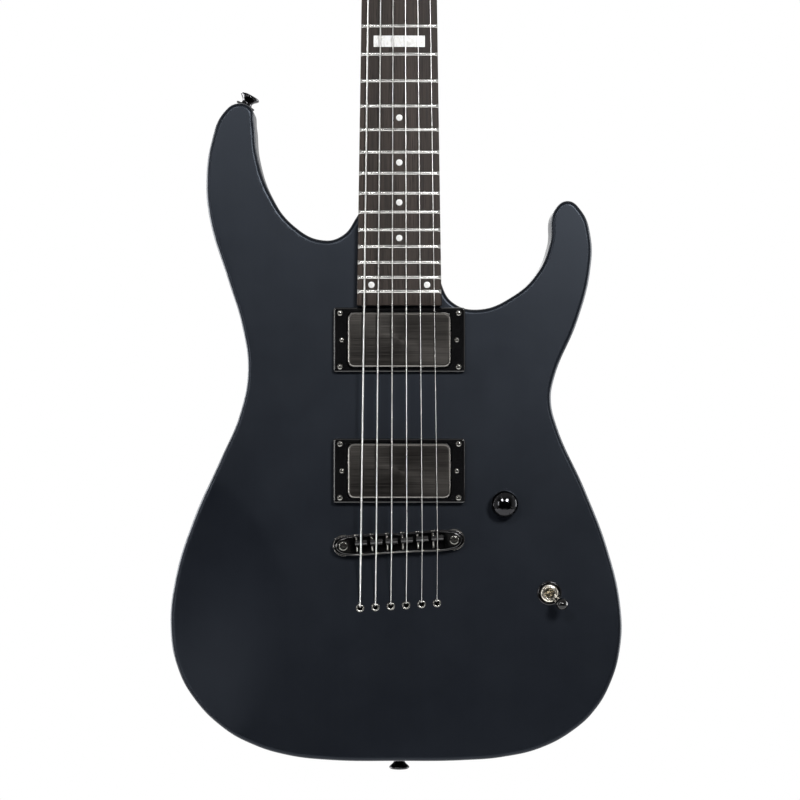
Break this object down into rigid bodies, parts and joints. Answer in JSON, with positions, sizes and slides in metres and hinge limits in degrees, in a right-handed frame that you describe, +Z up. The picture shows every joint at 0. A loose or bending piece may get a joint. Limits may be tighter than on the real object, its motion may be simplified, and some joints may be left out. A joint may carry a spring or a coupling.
{
  "type": "electric guitar",
  "caption": "Solid-body electric guitar with a bolt-on neck, string-through body, fixed adjustable bridge, humbucking pickups and geared tuners.",
  "frame": {"origin": "centre of the flat end face of the lower strap button, on the centreline at mid body thickness", "axes": "+Z up the neck towards the headstock, -Y out of the front (the strings' side), +X towards the treble side"},
  "size_m": [0.3109, 0.0778, 1.0038],
  "materials": {
    "black_lacquer": "black satin lacquer over wood",
    "fingerboard_wood": "dark open-grained hardwood, oiled",
    "black_metal": "black chrome plating",
    "steel": "bare nickel-plated steel",
    "black_plastic": "gloss black moulding",
    "pickup_cover": "brushed black cover",
    "nut_plastic": "black graphite-filled",
    "battery_can": "plain battery can",
    "inlay_pearl": "plain off-white inlays"
  },
  "bodies": {
    "instrument": {"body": "black_lacquer", "neck": "black_lacquer", "fingerboard": "fingerboard_wood", "nut": "nut_plastic", "truss_rod": "steel", "truss_rod_cover": "black_plastic", "neck_plate": "black_metal", "neck_screw_1": "black_metal", "neck_screw_2": "black_metal", "neck_screw_3": "black_metal", "neck_screw_4": "black_metal", "control_cover": "black_plastic", "pickup_ring_neck": "black_plastic", "pickup_ring_bridge": "black_plastic", "volume_pot": "steel", "toggle_switch": "steel", "jack_cup": "black_metal", "output_jack": "steel", "battery": "battery_can", "strap_button_upper": "black_metal", "strap_button_lower": "black_metal", "string_1": "steel", "string_2": "steel", "string_3": "steel", "string_4": "steel", "string_5": "steel", "string_6": "steel", "tuner_housing_1": "black_metal", "tuner_housing_2": "black_metal", "tuner_housing_3": "black_metal", "tuner_housing_4": "black_metal", "tuner_housing_5": "black_metal", "tuner_housing_6": "black_metal"},
    "tuner_button_1": {"tuner_button_1": "black_metal"},
    "tuner_post_1": {"tuner_post_1": "black_metal"},
    "tuner_button_2": {"tuner_button_2": "black_metal"},
    "tuner_post_2": {"tuner_post_2": "black_metal"},
    "tuner_button_3": {"tuner_button_3": "black_metal"},
    "tuner_post_3": {"tuner_post_3": "black_metal"},
    "tuner_button_4": {"tuner_button_4": "black_metal"},
    "tuner_post_4": {"tuner_post_4": "black_metal"},
    "tuner_button_5": {"tuner_button_5": "black_metal"},
    "tuner_post_5": {"tuner_post_5": "black_metal"},
    "tuner_button_6": {"tuner_button_6": "black_metal"},
    "tuner_post_6": {"tuner_post_6": "black_metal"},
    "volume": {"volume_knob": "black_metal", "volume_shaft": "steel"},
    "toggle": {"toggle_lever": "black_metal"},
    "truss_rod_nut": {"truss_rod_nut": "steel"},
    "bridge": {"bridge_base": "black_metal"},
    "bridge_post_bass": {"bridge_post_bass": "black_metal"},
    "bridge_post_treble": {"bridge_post_treble": "black_metal"},
    "saddle_1": {"saddle_1": "black_metal"},
    "saddle_2": {"saddle_2": "black_metal"},
    "saddle_3": {"saddle_3": "black_metal"},
    "saddle_4": {"saddle_4": "black_metal"},
    "saddle_5": {"saddle_5": "black_metal"},
    "saddle_6": {"saddle_6": "black_metal"},
    "pickup_neck": {"pickup_neck": "pickup_cover"},
    "pickup_bridge": {"pickup_bridge": "pickup_cover"}
  },
  "joints": [
    {"name": "tuner_button_1_turn", "type": "hinge", "parent": "instrument", "child": "tuner_button_1", "pos_m": [0.01001, 0.02046, 0.96638], "axis": [-0.9681, 0.0478, 0.2459], "continuous": true},
    {"name": "tuner_post_1_turn", "type": "hinge", "parent": "instrument", "child": "tuner_post_1", "pos_m": [0.0117, 0.00374, 0.97629], "axis": [0, -0.9816, 0.1908], "continuous": true},
    {"name": "tuner_button_2_turn", "type": "hinge", "parent": "instrument", "child": "tuner_button_2", "pos_m": [0.00367, 0.01579, 0.94233], "axis": [-0.9681, 0.0478, 0.2459], "continuous": true},
    {"name": "tuner_post_2_turn", "type": "hinge", "parent": "instrument", "child": "tuner_post_2", "pos_m": [0.00536, -0.00093, 0.95224], "axis": [0, -0.9816, 0.1908], "continuous": true},
    {"name": "tuner_button_3_turn", "type": "hinge", "parent": "instrument", "child": "tuner_button_3", "pos_m": [-0.00267, 0.01111, 0.91828], "axis": [-0.9681, 0.0478, 0.2459], "continuous": true},
    {"name": "tuner_post_3_turn", "type": "hinge", "parent": "instrument", "child": "tuner_post_3", "pos_m": [-0.00098, -0.00561, 0.92819], "axis": [0, -0.9816, 0.1908], "continuous": true},
    {"name": "tuner_button_4_turn", "type": "hinge", "parent": "instrument", "child": "tuner_button_4", "pos_m": [-0.00901, 0.00644, 0.89423], "axis": [-0.9681, 0.0478, 0.2459], "continuous": true},
    {"name": "tuner_post_4_turn", "type": "hinge", "parent": "instrument", "child": "tuner_post_4", "pos_m": [-0.00732, -0.01028, 0.90414], "axis": [0, -0.9816, 0.1908], "continuous": true},
    {"name": "tuner_button_5_turn", "type": "hinge", "parent": "instrument", "child": "tuner_button_5", "pos_m": [-0.01535, 0.00176, 0.87018], "axis": [-0.9681, 0.0478, 0.2459], "continuous": true},
    {"name": "tuner_post_5_turn", "type": "hinge", "parent": "instrument", "child": "tuner_post_5", "pos_m": [-0.01366, -0.01496, 0.88009], "axis": [0, -0.9816, 0.1908], "continuous": true},
    {"name": "tuner_button_6_turn", "type": "hinge", "parent": "instrument", "child": "tuner_button_6", "pos_m": [-0.02169, -0.00291, 0.84613], "axis": [-0.9681, 0.0478, 0.2459], "continuous": true},
    {"name": "tuner_post_6_turn", "type": "hinge", "parent": "instrument", "child": "tuner_post_6", "pos_m": [-0.02, -0.01963, 0.85604], "axis": [0, -0.9816, 0.1908], "continuous": true},
    {"name": "volume_turn", "type": "hinge", "parent": "instrument", "child": "volume", "pos_m": [0.072, -0.022, 0.185], "axis": [0, -1, 0], "range_deg": [0, 280]},
    {"name": "toggle_tilt", "type": "hinge", "parent": "instrument", "child": "toggle", "pos_m": [0.103, -0.021, 0.1235], "axis": [-0.6293, 0, -0.7771], "range_deg": [0, 46]},
    {"name": "truss_rod_turn", "type": "hinge", "parent": "instrument", "child": "truss_rod_nut", "pos_m": [0, -0.0215, 0.8185], "axis": [0, 0, 1], "range_deg": [-180, 180]},
    {"name": "bridge_height", "type": "slide", "parent": "instrument", "child": "bridge", "axis": [0, -1, 0], "range_m": [-0.0015, 0.0015], "deforming": ["string_1", "string_2", "string_3", "string_4", "string_5", "string_6"]},
    {"name": "bridge_post_bass_turn", "type": "hinge", "parent": "bridge", "child": "bridge_post_bass", "pos_m": [-0.03814, -0.022, 0.15628], "axis": [0, -1, 0], "range_deg": [-560, 560]},
    {"name": "bridge_post_treble_turn", "type": "hinge", "parent": "bridge", "child": "bridge_post_treble", "pos_m": [0.03754, -0.022, 0.16052], "axis": [0, -1, 0], "range_deg": [-560, 560]},
    {"name": "saddle_1_slide", "type": "slide", "parent": "bridge", "child": "saddle_1", "axis": [-0.0558, 0, 0.9984], "range_m": [-0.003, 0.001]},
    {"name": "saddle_2_slide", "type": "slide", "parent": "bridge", "child": "saddle_2", "axis": [-0.0558, 0, 0.9984], "range_m": [-0.003, 0.001]},
    {"name": "saddle_3_slide", "type": "slide", "parent": "bridge", "child": "saddle_3", "axis": [-0.0558, 0, 0.9984], "range_m": [-0.003, 0.001]},
    {"name": "saddle_4_slide", "type": "slide", "parent": "bridge", "child": "saddle_4", "axis": [-0.0558, 0, 0.9984], "range_m": [-0.003, 0.001]},
    {"name": "saddle_5_slide", "type": "slide", "parent": "bridge", "child": "saddle_5", "axis": [-0.0558, 0, 0.9984], "range_m": [-0.003, 0.001]},
    {"name": "saddle_6_slide", "type": "slide", "parent": "bridge", "child": "saddle_6", "axis": [-0.0558, 0, 0.9984], "range_m": [-0.003, 0.001]},
    {"name": "pickup_neck_height", "type": "slide", "parent": "instrument", "child": "pickup_neck", "axis": [0, -1, 0], "range_m": [-0.002, 0.002]},
    {"name": "pickup_bridge_height", "type": "slide", "parent": "instrument", "child": "pickup_bridge", "axis": [0, -1, 0], "range_m": [-0.002, 0.002]}
  ],
  "couplings": [
    {"joint": "tuner_post_1_turn", "follows": "tuner_button_1_turn", "ratio": 0.055556},
    {"joint": "tuner_post_2_turn", "follows": "tuner_button_2_turn", "ratio": 0.055556},
    {"joint": "tuner_post_3_turn", "follows": "tuner_button_3_turn", "ratio": 0.055556},
    {"joint": "tuner_post_4_turn", "follows": "tuner_button_4_turn", "ratio": 0.055556},
    {"joint": "tuner_post_5_turn", "follows": "tuner_button_5_turn", "ratio": 0.055556},
    {"joint": "tuner_post_6_turn", "follows": "tuner_button_6_turn", "ratio": 0.055556},
    {"joint": "bridge_post_bass_turn", "follows": "bridge_height", "rad_per_m": 6283.2},
    {"joint": "bridge_post_treble_turn", "follows": "bridge_height", "rad_per_m": 6283.2}
  ]
}
